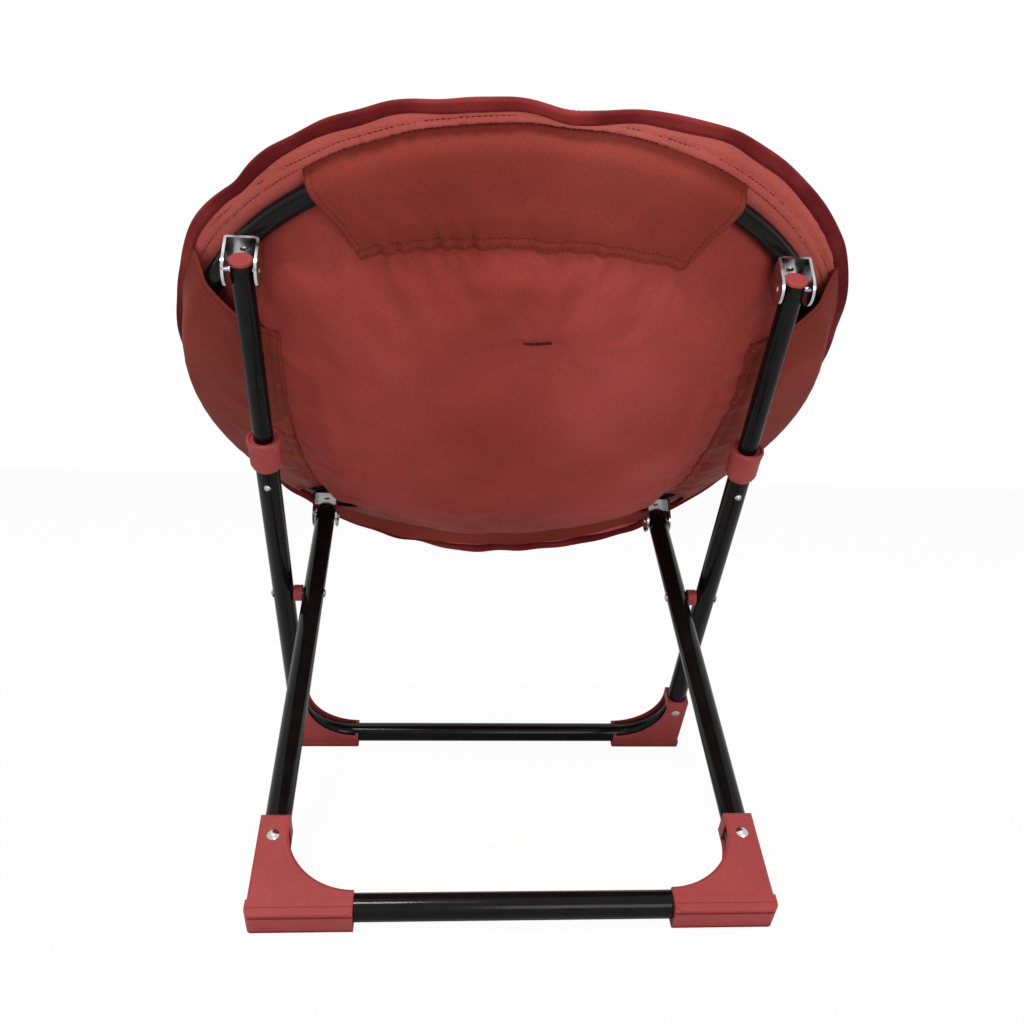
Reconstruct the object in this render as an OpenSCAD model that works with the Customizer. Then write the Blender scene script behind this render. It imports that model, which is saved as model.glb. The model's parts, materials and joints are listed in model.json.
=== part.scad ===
// Child's folding saucer chair: a round padded seat on a hoop, carried by two crossed tube
// frames. The upper legs slide down into the lower ones, so that both frames fold flat
// against the hoop. Millimetres; +Z is up, +Y is the back of the chair, +X is the sitter's
// left; the origin is on the floor under the middle of the seat.

/* [Seat hoop] */
// Diameter of the hoop on the middle line of its tube
hoop_diameter = 516; // [500:2:550]
// Outer diameter of the hoop tube
hoop_tube = 16; // [14:0.5:18]
// Wall of the hoop tube
hoop_wall = 1.2; // [0.8:0.1:1.6]

/* [Crossed frames] */
// Distance between the legs of the inner frame, which stands at the back, as a share of the hoop
leg_spacing_share = 0.657; // [0.63:0.001:0.67]
// Gap between the legs of the two frames
leg_gap = 8; // [7:0.5:10]
// Outer diameter of the lower tubes
leg_tube = 19; // [18:0.5:20]
// Wall of the lower tubes
leg_wall = 1.4; // [1.1:0.1:1.4]
// Radius of the bends at the floor, on the tube's middle line
bend_radius = 55; // [48:1:62]
// Angle of the inner legs above the floor
inner_leg_angle = 33.2; // [31:0.1:36]
// Angle of the outer legs above the floor
outer_leg_angle = 51.8; // [49:0.1:54]
// Height of the crossing pivot above the floor
pivot_height = 187; // [178:1:196]
// Height of the middle line of the floor bars
bar_height = 15; // [14.5:0.1:15.3]
// Distance along the inner leg from the crossing pivot to the front pin, as a share of the hoop
front_pin_share = 0.2267; // [0.215:0.0001:0.24]

/* [Upper legs] */
// Wall of the upper legs
upper_wall = 1.2; // [0.8:0.1:1.4]
// Length of an upper leg that stays inside the lower leg when the chair stands
upper_overlap = 70; // [60:1:80]
// Clearance between tubes that slide in each other
slide_clearance = 0.1; // [0.05:0.01:0.1]
// How far a leg's plug stands past the pin
pin_margin = 8.5; // [7:0.5:10]

/* [Collars] */
// Place of the collar's foot between the crossing pivot and the rear pin, as a share
collar_share = 0.4575; // [0.44:0.0025:0.48]
// Length of the collar
collar_length = 31; // [26:1:36]
// Wall of the collar at its top rim
collar_wall = 4.5; // [3.8:0.1:5]
// How much the collar narrows below its top rim
collar_flare = 1; // [0.4:0.1:1.4]
// Height of the slope at the foot of the collar
collar_taper = 6; // [3:0.5:9]
// Thickness of the web that closes the collar on the upper leg
collar_lip = 3; // [2:0.5:5]
// Height of the top rim over that web
collar_rim = 2; // [1:0.5:4]

/* [Snap buttons] */
// Distance from the foot of the collar down to the button
button_drop = 15; // [10:1:20]
// Diameter of the button
button_diameter = 6; // [5:0.5:7]
// How far the button stands out of the lower leg
button_rise = 2.5; // [2:0.1:3]
// Length of the leaf spring below the button
spring_length = 40; // [30:1:46]
// Width of the leaf spring
spring_width = 5; // [4:0.5:6]
// Thickness of the leaf spring
spring_sheet = 0.6; // [0.4:0.1:0.8]

/* [Feet] */
// Side wall of a foot outside the tube, at the band of its sole
foot_side_wall = 2.5; // [2:0.25:3]
// How far the faces lie behind the band
foot_step = 0.6; // [0.3:0.1:0.8]
// Thickness of the sole under the tube
foot_sole = 3; // [2.6:0.1:3.4]
// Wall outside the leg
foot_wall = 1.4; // [1.2:0.1:2]
// How far the band at the sole stands out from the sleeve's outer side
foot_flare = 0.8; // [0.4:0.1:1.5]
// Height of the sleeve above the bar's middle line
foot_rise = 67; // [62:1:74]
// Length of the foot inward from the leg's middle line
foot_length = 60; // [56:1:66]
// Radius of the hollow curve from the leg to the bar
foot_throat = 50; // [48:0.5:52]
// Width of the bevel round the faces
foot_bevel = 2; // [1.5:0.1:2.5]
// Height of the band at the sole
foot_band = 12; // [11:0.25:13]
// Height of the foot rivet above the bar's middle line
foot_rivet_rise = 50; // [44:1:56]

/* [Brackets] */
// Room between the ears of a bracket and a lower tube, both sides together
bracket_room = 1.5; // [1.3:0.1:2]
// Length of a bracket along the fold direction
bracket_length = 24; // [20:0.5:26]
// Sheet thickness of the brackets
bracket_sheet = 2; // [1.5:0.1:2.2]
// Distance from the inside of the web to the pin
pin_drop = 18; // [17:0.5:21]
// Shank diameter of the bracket pins
pin_diameter = 4; // [3.5:0.5:4.5]
// Head diameter of the bracket pins
pin_head = 6; // [5.5:0.5:7]
// Height of the heads of the bracket pins
pin_head_rise = 1.6; // [1:0.1:1.8]

/* [Crossing pivots and rivets] */
// Diameter of the spacers between the two frames
spacer_diameter = 15; // [13:0.5:17]
// Gap between a spacer and the inner leg
spacer_gap = 0.3; // [0.2:0.1:0.5]
// Shank diameter of the crossing pivots and foot rivets
rivet_diameter = 5; // [4:0.5:6]
// Head diameter of the crossing pivots and foot rivets
rivet_head = 9; // [8:0.5:10]
// Height of the rivet heads
rivet_rise = 2; // [1.4:0.1:2.4]

/* [Seat] */
// Depth of the seat's underside below the hoop's middle plane
seat_sag = 92; // [80:1:96]
// Thickness of the padded seat
seat_thickness = 12; // [9:0.5:14]
// How far the rim stands out past the hoop's middle line at the back
rim_reach_back = 34; // [30:1:38]
// How far the rim stands out past the hoop's middle line at the sides
rim_reach_side = 16; // [14:1:20]
// How far the rim stands out past the hoop's middle line at the front
rim_reach_front = 37; // [32:1:40]
// Height of the rim's edge over the hoop's middle plane at the back
rim_lift_back = 4; // [0:1:8]
// Height of the rim's edge over the hoop's middle plane at the sides
rim_lift_side = 14; // [12:1:16]
// Drop of the rim's edge below the hoop's middle plane at the front
rim_droop_front = 22; // [18:1:26]
// Height of the soft waves along the rim
rim_wave = 1.5; // [0:0.1:2]
// Width of the binding tape, seen from its edge
binding_width = 9; // [7:0.5:11]
// How far the binding stands outside the padded edge
binding_depth = 4; // [3:0.5:5]
// Depth of the sewn tuft
tuft_depth = 5; // [0:0.5:7]
// Distance of the sewn tuft from the middle of the seat toward the back, as a share of the hoop
tuft_share = 0.57; // [0.5:0.01:0.62]

/* [Hoop pockets] */
// Thickness of the cloth panels that hold the hoop
panel_thickness = 2.5; // [1.5:0.1:3]
// Half the angle that a pocket takes up, at the back and at the front
pocket_half_angle = 35; // [31:0.5:36]
// Distance of a pocket's lower seam from the middle of the seat, as a share of the hoop
pocket_share = 0.822; // [0.8:0.002:0.84]
// How far a side sleeve's lower seam stands outside the middle line of the inner leg
sleeve_margin = 8.5; // [4:0.5:14]
// Angle of the side sleeves' back end, from the sitter's left
sleeve_back_angle = 30; // [26:0.5:32]
// Angle of the side sleeves' front end, from the sitter's left
sleeve_front_angle = 40; // [36:0.5:42]

/* [Hidden] */
$fn = 48;
overrun = 1;
fit = 0.05;
cloth_gap = 0.8;
cloth_wrap = 0.9;
binding_gap = 0.3;
binding_round_share = 0.7;
shoulder_share = 0.7;
collar_rim_wall = 2.4;
collar_flare_length = 7;
foot_gap = 0.15;
button_gap = 0.2;
spring_gap = 0.4;
plug_length = 14;
plug_flange = 3;
plug_overhang = 0.75;
edge_break = 0.8;
tail_rise = 1;
tail_overhang = 0.9;
web_rivet_rise = 1.5;
foot_corner = 5;
foot_bevel_drop = 1.1;
foot_groove = 1;
foot_groove_width = 2.8;
foot_groove_place = 7.2;
foot_line = 0.4;
foot_line_width = 0.9;
foot_line_share = 0.45;
foot_rib = 2;
foot_end_wall = 3;
foot_throat_wall = 1;
foot_lip = 2.65;
foot_sleeve = 9;
rib_angles = [32, 45, 58];
corner_steps = 5;

// Sizes of what fits on or in the lower tubes
upper_tube = leg_tube - 2 * (leg_wall + slide_clearance);
collar_radius = leg_tube / 2 + collar_wall;
foot_thickness = leg_tube + 2 * foot_side_wall;
bracket_gap = leg_tube + bracket_room;

// The crossed frames as a linkage: the crossing pivot, the two pins and the hoop
hoop_radius = hoop_diameter / 2;
inner_half_width = hoop_radius * leg_spacing_share;
outer_half_width = inner_half_width + leg_tube + leg_gap;
front_pin_reach = hoop_diameter * front_pin_share;
rear_pin_v = sqrt(pow(hoop_radius, 2) - pow(outer_half_width, 2));
front_pin_v = sqrt(pow(hoop_radius, 2) - pow(inner_half_width, 2));
pin_span = rear_pin_v + front_pin_v;
crossing_angle = 180 - inner_leg_angle - outer_leg_angle;
rear_pin_reach = front_pin_reach * cos(crossing_angle)
    + sqrt(pow(pin_span, 2) - pow(front_pin_reach * sin(crossing_angle), 2));
front_pin = front_pin_reach * [-cos(inner_leg_angle), sin(inner_leg_angle)];
rear_pin = rear_pin_reach * [cos(outer_leg_angle), sin(outer_leg_angle)];
hoop_tilt = atan2(rear_pin[1] - front_pin[1], rear_pin[0] - front_pin[0]);
pin_depth = hoop_tube / 2 + bracket_sheet + pin_drop;
hoop_back = [cos(hoop_tilt), sin(hoop_tilt)];
hoop_up = [-sin(hoop_tilt), cos(hoop_tilt)];
hoop_centre = front_pin + front_pin_v * hoop_back + pin_depth * hoop_up;
inner_low = (pivot_height - bar_height) / sin(inner_leg_angle);
outer_low = (pivot_height - bar_height) / sin(outer_leg_angle);

// Places along the outer leg, measured from the crossing pivot
collar_station = rear_pin_reach * collar_share;
collar_top = collar_station + collar_length;
lower_tube_top = collar_top - collar_rim - collar_lip;
button_station = collar_station - button_drop;
upper_foot = collar_top - upper_overlap;
leg_bore = upper_tube / 2 + slide_clearance;
upper_bore = upper_tube / 2 - upper_wall;
button_top = leg_tube / 2 + button_rise;
spring_half = upper_bore - spring_gap - spring_sheet / 2;

// Seat: the padded shell is a table of points, columns round the hoop, rows over its section
seat_columns = 48;
sag_power = 2.6;
wrap = hoop_tube / 2 + cloth_wrap;
bowl_radius = hoop_radius - wrap;
under_shares = [0.2, 0.38, 0.54, 0.68, 0.8, 0.9];
top_shares = [0.93, 0.82, 0.69, 0.54, 0.38, 0.2];
wrap_turns = [180, 150, 120, 90, 45];
top_lift = seat_thickness / 3;
tuft_spread = 26;
tuft_place = hoop_radius * tuft_share;
pocket_seam = hoop_radius * pocket_share;
sleeve_seam = inner_half_width + sleeve_margin;
wave_count = 7;
fine_wave_count = 11;

function blend(back, side, front, a) =
    side + (cos(a) > 0 ? back - side : front - side) * pow(cos(a), 2);
function rim_reach(a) = hoop_radius + blend(rim_reach_back, rim_reach_side, rim_reach_front, a)
    - binding_depth + rim_wave * (cos(wave_count * a) + cos(fine_wave_count * a)) / 2;
function rim_lift(a) = blend(rim_lift_back, rim_lift_side, -rim_droop_front, a);
function under(r) = -seat_sag * (1 - pow(min(1, r / bowl_radius), sag_power));
function tuft(a, r) = tuft_depth * exp(-(pow(r * cos(a) - tuft_place, 2) + pow(r * sin(a), 2))
    / pow(tuft_spread, 2));
function middle(p, q, out) = (p + q) / 2 + out;
// Points of one section, from the bottom out over the rim to the top, as [distance, height]
function under_rows(a) = concat(
    [for (s = under_shares) [s * bowl_radius, under(s * bowl_radius) + tuft(a, s * bowl_radius) / 2]],
    [for (t = wrap_turns) [hoop_radius + wrap * cos(t), wrap * sin(t)]]);
function edge_rows(a) = [
    [rim_reach(a), rim_lift(a) - binding_width / 3],
    [rim_reach(a), rim_lift(a) + binding_width / 3]];
function top_rows(a) = let (
        crest = [hoop_radius, wrap + seat_thickness],
        shoulder = [hoop_radius - wrap, wrap + seat_thickness * shoulder_share])
    concat(
        [middle(edge_rows(a)[1], crest, [1, 1] * seat_thickness / 4), crest, shoulder],
        [for (s = top_shares) let (r = s * bowl_radius)
            [r, seat_thickness - seat_sag
                + (seat_sag + top_lift - seat_thickness) * pow(s / top_shares[0], sag_power)
                - tuft(a, r)]]);
function section(a) = concat(under_rows(a),
    [middle(under_rows(a)[len(under_rows(a)) - 1], edge_rows(a)[0], [1, 1] * cloth_wrap / 2)],
    edge_rows(a), top_rows(a));
// A point of the seat in the hoop's frame: angle a from the back, distance and height
function seat_point(a, p) = [p[0] * sin(a), p[0] * cos(a), p[1]];

function binding_rows(a) = let (e = edge_rows(a), g = [binding_gap, 0],
        half = [0, (binding_width - (e[1][1] - e[0][1])) / 2], out = [binding_depth, 0])
    [e[0] + g, e[0] + g - half, e[0] + out * binding_round_share - half, e[0] + out, e[1] + out,
     e[1] + out * binding_round_share + half, e[1] + g + half, e[1] + g];

// The origin lies under the middle of the seat from front to back
rim_places = [for (k = [0:seat_columns - 1]) let (a = 360 * k / seat_columns)
    for (p = binding_rows(a)) p[0] * cos(a) * hoop_back[0] - p[1] * sin(hoop_tilt)];
pivot_y = -hoop_centre[0] - (max(rim_places) + min(rim_places)) / 2;

red = "#8c3230";
cloth = "#96322f";
black = "#1a1a1a";
steel = "#c8c8cc";

// Places

module at_outer() translate([0, pivot_y, pivot_height]) rotate([outer_leg_angle - 90, 0, 0]) children();
module at_inner() translate([0, pivot_y, pivot_height]) rotate([90 - inner_leg_angle, 0, 0]) children();
module at_hoop() translate([0, pivot_y + hoop_centre[0], pivot_height + hoop_centre[1]])
    rotate([hoop_tilt, 0, 0]) children();
module both_sides() { children(); mirror([1, 0, 0]) children(); }
module side(left) mirror([left ? 0 : 1, 0, 0]) children();
module along_x() rotate([0, 90, 0]) children();
module along_y() rotate([-90, 0, 0]) children();

// Shared shapes

// A bent rod with two legs, two bends and a floor bar, in the plane of its frame
module bent_rod(half, low, top, radius) {
    both_sides() {
        translate([half, 0, bend_radius - low]) cylinder(r = radius, h = top + low - bend_radius);
        translate([half - bend_radius, 0, bend_radius - low]) along_y()
            rotate_extrude(angle = 90) translate([bend_radius, 0]) circle(r = radius);
    }
    translate([bend_radius - half, 0, -low]) along_x()
        cylinder(r = radius, h = 2 * (half - bend_radius));
}

module cross_hole(half, z, radius, wide) {
    both_sides() translate([half, 0, z]) along_x() cylinder(r = radius, h = wide, center = true);
}

// A hole in the back face of a leg only
module face_hole(half, z, radius, deep) {
    both_sides() translate([half, 0, z]) along_y() cylinder(r = radius, h = deep);
}

module dome(width, rise) {
    ball = (pow(width / 2, 2) + pow(rise, 2)) / (2 * rise);
    intersection() {
        translate([0, 0, rise - ball]) sphere(r = ball);
        cylinder(r = width / 2, h = rise + overrun);
    }
}

// A rivet with its head above zero and its shank below; the tail spreads over its last bit
module rivet(head, rise, shank, long, tail) {
    dome(head, rise);
    translate([0, 0, -long]) cylinder(r = shank / 2, h = long);
    if (tail) translate([0, 0, -long]) cylinder(r = shank / 2 + tail_overhang, h = tail_rise);
}

// Plug for a tube's end: a rounded flange, and a spigot that the pin goes through
module plug(bore, outside, end, pin_at) {
    difference() {
        rotate_extrude() polygon([[0, end - plug_length], [bore - fit - edge_break, end - plug_length],
            [bore - fit, end - plug_length + edge_break], [bore - fit, end],
            [outside, end], [outside, end + plug_flange - edge_break],
            [outside - edge_break, end + plug_flange], [0, end + plug_flange]]);
        translate([0, 0, pin_at]) along_x()
            cylinder(r = pin_diameter / 2 + fit, h = 2 * (outside + overrun), center = true);
    }
}

// Outer frame: stands at the front

module outer_frame_tube() color(black) at_outer() difference() {
    bent_rod(outer_half_width, outer_low, lower_tube_top, leg_tube / 2);
    bent_rod(outer_half_width, outer_low, lower_tube_top + overrun, leg_bore);
    cross_hole(outer_half_width, 0, rivet_diameter / 2 + fit, leg_tube + overrun);
    face_hole(outer_half_width, button_station, button_diameter / 2 + button_gap, leg_tube);
    face_hole(outer_half_width, foot_rivet_rise - outer_low, rivet_diameter / 2 + fit, leg_tube);
}

// Sole corners are rounded by short chords
function sole_corner(x, z, turn) = [for (k = [0:corner_steps]) let (a = turn + 90 * k / corner_steps)
    [x + foot_corner * cos(a), z + foot_corner * sin(a)]];
function sole_outline(low, out, top) =
    concat([[-foot_length, top]], sole_corner(foot_corner - foot_length, low + foot_corner, 180),
        sole_corner(out - foot_corner, low + foot_corner, 270), [[out, top]]);

// Half a section with a bevelled edge, and the whole one: x from low to high, y from one face to the other
function bevelled_edge(x, inward, face) = [[x + inward * foot_bevel, -face], [x, foot_bevel_drop - face],
    [x, face - foot_bevel_drop], [x + inward * foot_bevel, face]];
function bevelled(low, high, face) = concat(bevelled_edge(high, -1, face),
    [for (k = [3:-1:0]) bevelled_edge(low, 1, face)[k]]);

// The foot's solid body: a sleeve up the leg, a sleeve along the bar, and a web with a hollow curve
module foot_body() {
    out = leg_tube / 2 + foot_wall;
    inner = leg_tube / 2 + foot_throat_wall;
    low = -leg_tube / 2 - foot_sole;
    bar_edge = leg_tube / 2 - foot_lip;
    face = foot_thickness / 2 - foot_step;
    difference() {
        union() {
            intersection() {
                translate([0, low + foot_corner, 0]) rotate([-90, 0, 0])
                    linear_extrude(height = foot_rise - low) polygon(bevelled(-inner, out, face));
                translate([-foot_length, 0, 0]) rotate([90, 0, 90])
                    linear_extrude(height = 2 * foot_length)
                        polygon(bevelled(low - foot_rise, foot_rise, face));
            }
            translate([-foot_length, 0, 0]) rotate([90, 0, 90])
                linear_extrude(height = foot_length) polygon(bevelled(low, bar_edge, face));
            linear_extrude(height = 2 * face, center = true)
                translate([-foot_length, low + foot_corner])
                    square([foot_length + out - foot_bevel,
                        bar_edge + foot_throat - low - foot_corner]);
            linear_extrude(height = foot_thickness, center = true)
                polygon(sole_outline(low, out + foot_flare, low + foot_band));
        }
        translate([-inner - foot_throat, bar_edge + foot_throat, 0]) {
            cylinder(r = foot_throat, h = foot_thickness + overrun, center = true);
            both_faces() translate([0, 0, face - foot_bevel_drop])
                cylinder(r1 = foot_throat, r2 = foot_throat + foot_bevel, h = foot_bevel_drop);
        }
        both_faces() {
            translate([-foot_length - overrun, low - overrun, foot_groove_place])
                cube([2 * foot_length, foot_groove + overrun, foot_groove_width]);
            translate([-foot_length - overrun, low + foot_band * foot_line_share,
                    foot_thickness / 2 - foot_line])
                cube([2 * foot_length, foot_line_width, foot_line + overrun]);
        }
    }
}

module both_faces() {
    children();
    mirror([0, 0, 1]) children();
}

// Corner foot of the left leg, in the frame's plane: the leg's middle line is at zero, +Z up it
module foot(half, low) {
    cavity = leg_tube + 2 * foot_gap;
    difference() {
        translate([half, 0, -low]) rotate([90, 0, 0]) difference() {
            foot_body();
            linear_extrude(height = cavity, center = true) difference() {
                translate([foot_end_wall - foot_length, -cavity / 2])
                    square([foot_length - foot_end_wall + cavity / 2,
                        foot_rise - foot_sleeve + cavity / 2]);
                for (a = rib_angles) translate([-bend_radius, bend_radius]) rotate(-a)
                    translate([bend_radius, -foot_rib / 2]) square([bend_radius, foot_rib]);
            }
        }
        bent_rod(half, low, overrun, leg_tube / 2 + foot_gap);
        face_hole(half, foot_rivet_rise - low, rivet_diameter / 2 + fit, foot_thickness);
    }
}

module floor_cut() translate([-hoop_diameter, -hoop_diameter, -hoop_diameter])
    cube([2 * hoop_diameter, 2 * hoop_diameter, hoop_diameter]);

module front_foot(left) color(red) difference() {
    at_outer() side(left) foot(outer_half_width, outer_low);
    floor_cut();
}

module foot_rivets(half, low) color(steel) both_sides()
    translate([half, foot_thickness / 2 - foot_step, foot_rivet_rise - low]) along_y()
        rivet(rivet_head, rivet_rise, rivet_diameter,
            foot_thickness / 2 - foot_step - leg_bore + tail_rise + rivet_rise / 2, true);

module front_foot_rivets() at_outer() foot_rivets(outer_half_width, outer_low);

module collar(left) color(red) at_outer() side(left) translate([outer_half_width, 0, 0])
    rotate_extrude() polygon([
        [leg_tube / 2 + fit, collar_station],
        [collar_radius - collar_flare - collar_taper / 2, collar_station],
        [collar_radius - collar_flare - collar_taper / 6, collar_station + collar_taper / 2],
        [collar_radius - collar_flare, collar_station + collar_taper],
        [collar_radius - collar_flare, collar_top - 2 * edge_break - collar_flare_length],
        [collar_radius, collar_top - 2 * edge_break],
        [collar_radius - edge_break / 2, collar_top - edge_break / 2],
        [collar_radius - 2 * edge_break, collar_top],
        [collar_radius - collar_rim_wall, collar_top - edge_break / 2],
        [collar_radius - collar_rim_wall - edge_break, collar_top - collar_rim],
        [leg_bore, collar_top - collar_rim], [leg_bore, lower_tube_top + fit],
        [leg_tube / 2 + fit, lower_tube_top + fit]]);

module pivot_spacers() color(red) at_outer() both_sides() difference() {
    translate([inner_half_width + leg_tube / 2 + spacer_gap, 0, 0]) along_x()
        cylinder(r = spacer_diameter / 2, h = leg_gap - spacer_gap);
    cross_hole(outer_half_width, 0, rivet_diameter / 2 + fit, outer_half_width);
}

module outer_pivot_rivets() color(steel) at_outer() both_sides()
    translate([outer_half_width + leg_tube / 2, 0, 0]) along_x()
        rivet(rivet_head, rivet_rise, rivet_diameter, leg_tube + leg_gap - spacer_gap, false);

// Upper legs: slide in the outer frame

module upper_leg(left) color(black) at_outer() side(left) difference() {
    tube_top = rear_pin_reach + pin_margin - plug_flange;
    translate([outer_half_width, 0, upper_foot])
        cylinder(r = upper_tube / 2, h = tube_top - upper_foot);
    translate([outer_half_width, 0, upper_foot - overrun])
        cylinder(r = upper_bore, h = tube_top - upper_foot + 2 * overrun);
    cross_hole(outer_half_width, rear_pin_reach, pin_diameter / 2 + fit, upper_tube + overrun);
    face_hole(outer_half_width, button_station, button_diameter / 2 + button_gap, upper_tube);
}

module upper_leg_plugs() color(red) at_outer() both_sides() translate([outer_half_width, 0, 0])
    plug(upper_bore, upper_tube / 2 + plug_overhang, rear_pin_reach + pin_margin - plug_flange,
        rear_pin_reach);

module snap_springs() color(steel) at_outer() both_sides() translate([outer_half_width, 0, 0])
    rotate([90, 0, 90]) linear_extrude(height = spring_width, center = true) difference() {
        high = button_station + button_diameter;
        polygon([[spring_half, high], [0, button_station - spring_length], [-spring_half, high]]);
        polygon([[spring_half - spring_sheet, high + overrun],
            [0, button_station - spring_length + spring_sheet * spring_length / spring_half],
            [spring_sheet - spring_half, high + overrun]]);
    }

module snap_button(left) color(steel) at_outer() side(left)
    translate([outer_half_width, 0, button_station]) along_y() {
        translate([0, 0, spring_half + fit])
            cylinder(r = button_diameter / 2, h = button_top - button_diameter / 2 - spring_half - fit);
        translate([0, 0, button_top - button_diameter / 2]) sphere(r = button_diameter / 2);
    }

// Hoop and brackets

module at_rear_pin() translate([outer_half_width, rear_pin_v, -pin_depth]) children();
module at_front_pin() translate([inner_half_width, -front_pin_v, -pin_depth]) children();

module hoop_tube_ring() color(black) at_hoop() difference() {
    rotate_extrude() translate([hoop_radius, 0]) difference() {
        circle(r = hoop_tube / 2);
        circle(r = hoop_tube / 2 - hoop_wall);
    }
    both_sides() {
        at_rear_pin() cylinder(r = pin_diameter / 2 + fit, h = pin_depth);
        at_front_pin() cylinder(r = pin_diameter / 2 + fit, h = pin_depth);
    }
}

// A folded sheet saddle: a web under the hoop and two round-ended ears that hold the pin
module bracket() {
    width = bracket_gap + 2 * bracket_sheet;
    top = pin_drop + bracket_sheet;
    difference() {
        intersection() {
            rotate([90, 0, 0]) linear_extrude(height = bracket_length, center = true) difference() {
                union() {
                    translate([-width / 2, -bracket_length])
                        square([width, bracket_length + top - bracket_sheet]);
                    translate([-bracket_gap / 2, 0]) square([bracket_gap, top]);
                    for (x = [-1, 1]) translate([x * bracket_gap / 2, pin_drop]) circle(r = bracket_sheet);
                }
                translate([-bracket_gap / 2, -bracket_length - overrun])
                    square([bracket_gap, bracket_length + overrun + pin_drop]);
            }
            along_x() union() {
                cylinder(r = bracket_length / 2, h = width + overrun, center = true);
                translate([-top - overrun, -bracket_length / 2, -width / 2 - overrun])
                    cube([top + overrun, bracket_length, width + 2 * overrun]);
            }
        }
        along_x() cylinder(r = pin_diameter / 2 + fit, h = width + overrun, center = true);
        cylinder(r = pin_diameter / 2 + fit, h = top + overrun);
    }
}

module rear_bracket(left) color(steel) at_hoop() side(left) at_rear_pin() bracket();
module front_bracket(left) color(steel) at_hoop() side(left) at_front_pin() bracket();

module web_rivet() translate([0, 0, pin_drop]) mirror([0, 0, 1])
    rivet(pin_head, web_rivet_rise, pin_diameter,
        bracket_sheet + hoop_wall + 2 * tail_rise, true);

module bracket_rivets() color(steel) at_hoop() both_sides() {
    at_rear_pin() web_rivet();
    at_front_pin() web_rivet();
}

module bracket_pin() {
    wide = bracket_gap + 2 * bracket_sheet;
    along_x() cylinder(r = pin_diameter / 2, h = wide, center = true);
    for (s = [0, 1]) mirror([s, 0, 0]) translate([wide / 2, 0, 0]) along_x() dome(pin_head, pin_head_rise);
}

module rear_bracket_pins() color(steel) at_hoop() both_sides() at_rear_pin() bracket_pin();
module front_bracket_pins() color(steel) at_hoop() both_sides() at_front_pin() bracket_pin();

// Seat

// Faces of a shell of closed rows: columns wrap round when whole is true, else both ends close
function loop_faces(columns, rows, whole) = concat(
    [for (c = [0:columns - (whole ? 1 : 2)], r = [0:rows - 1]) let (
            c2 = (c + 1) % columns, r2 = (r + 1) % rows)
        each [[c * rows + r, c2 * rows + r, c2 * rows + r2], [c * rows + r, c2 * rows + r2, c * rows + r2]]],
    whole ? [] : [[for (r = [0:rows - 1]) r],
        [for (r = [rows - 1:-1:0]) (columns - 1) * rows + r]]);

module seat_pad() color(cloth) at_hoop() {
    rows = len(section(0));
    turns = [for (k = [0:seat_columns - 1]) 360 * k / seat_columns];
    points = concat([for (a = turns) each [for (p = section(a)) seat_point(a, p)]],
        [[0, 0, -seat_sag], [0, 0, seat_thickness - seat_sag]]);
    low = seat_columns * rows;
    faces = concat(
        [for (c = [0:seat_columns - 1], r = [0:rows - 2]) let (c2 = (c + 1) % seat_columns)
            each [[c * rows + r, c2 * rows + r, c2 * rows + r + 1],
                  [c * rows + r, c2 * rows + r + 1, c * rows + r + 1]]],
        [for (c = [0:seat_columns - 1]) let (c2 = (c + 1) % seat_columns)
            each [[low, c2 * rows, c * rows], [low + 1, c * rows + rows - 1, c2 * rows + rows - 1]]]);
    polyhedron(points, faces);
}

module rim_binding() color(red) at_hoop() {
    rows = len(binding_rows(0));
    polyhedron([for (k = [0:seat_columns - 1]) let (a = 360 * k / seat_columns)
            each [for (p = binding_rows(a)) seat_point(a, p)]],
        loop_faces(seat_columns, rows, true));
}

// Cloth panel under the seat that holds the hoop: from its seam, round the tube, to the rim
function panel_inner(a, seam, turns) = concat(
    [[seam, under(seam) - cloth_gap]],
    [for (t = turns) [hoop_radius + (wrap + cloth_gap) * cos(t), (wrap + cloth_gap) * sin(t)]],
    [[rim_reach(a) - binding_depth / 2, rim_lift(a) - binding_width / 3 - 3 * cloth_gap]]);
function panel_outer(a, seam, turns) = let (t2 = panel_thickness) concat(
    [[rim_reach(a) - binding_depth / 4, rim_lift(a) - binding_width / 3 - 3 * cloth_gap - t2]],
    [for (k = [len(turns) - 1:-1:0]) let (t = turns[k])
        [hoop_radius + (wrap + cloth_gap + t2) * cos(t), (wrap + cloth_gap + t2) * sin(t)]],
    [[seam + t2 / 2, under(seam) - cloth_gap - t2]]);
module panel(from, to, columns, seams, turns) {
    rows = 2 * len(turns) + 4;
    polyhedron([for (k = [0:columns - 1]) let (a = from + (to - from) * k / (columns - 1))
            each [for (p = concat(panel_inner(a, seams[k], turns), panel_outer(a, seams[k], turns)))
                seat_point(a, p)]],
        loop_faces(columns, rows, false));
}
panel_columns = 15;
rear_turns = [296];
side_turns = [285, 315, 345];

module rear_pocket() color(cloth) at_hoop()
    panel(-pocket_half_angle, pocket_half_angle, panel_columns,
        [for (k = [1:panel_columns]) pocket_seam], rear_turns);
module front_pocket() color(cloth) at_hoop()
    panel(180 - pocket_half_angle, 180 + pocket_half_angle, panel_columns,
        [for (k = [1:panel_columns]) pocket_seam], []);
module side_sleeve(left) color(cloth) at_hoop() side(left) {
    from = 90 - sleeve_back_angle;
    to = 90 + sleeve_front_angle;
    panel(from, to, panel_columns,
        [for (k = [0:panel_columns - 1]) sleeve_seam / sin(from + (to - from) * k / (panel_columns - 1))],
        side_turns);
}

// Inner frame: stands at the back

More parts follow.
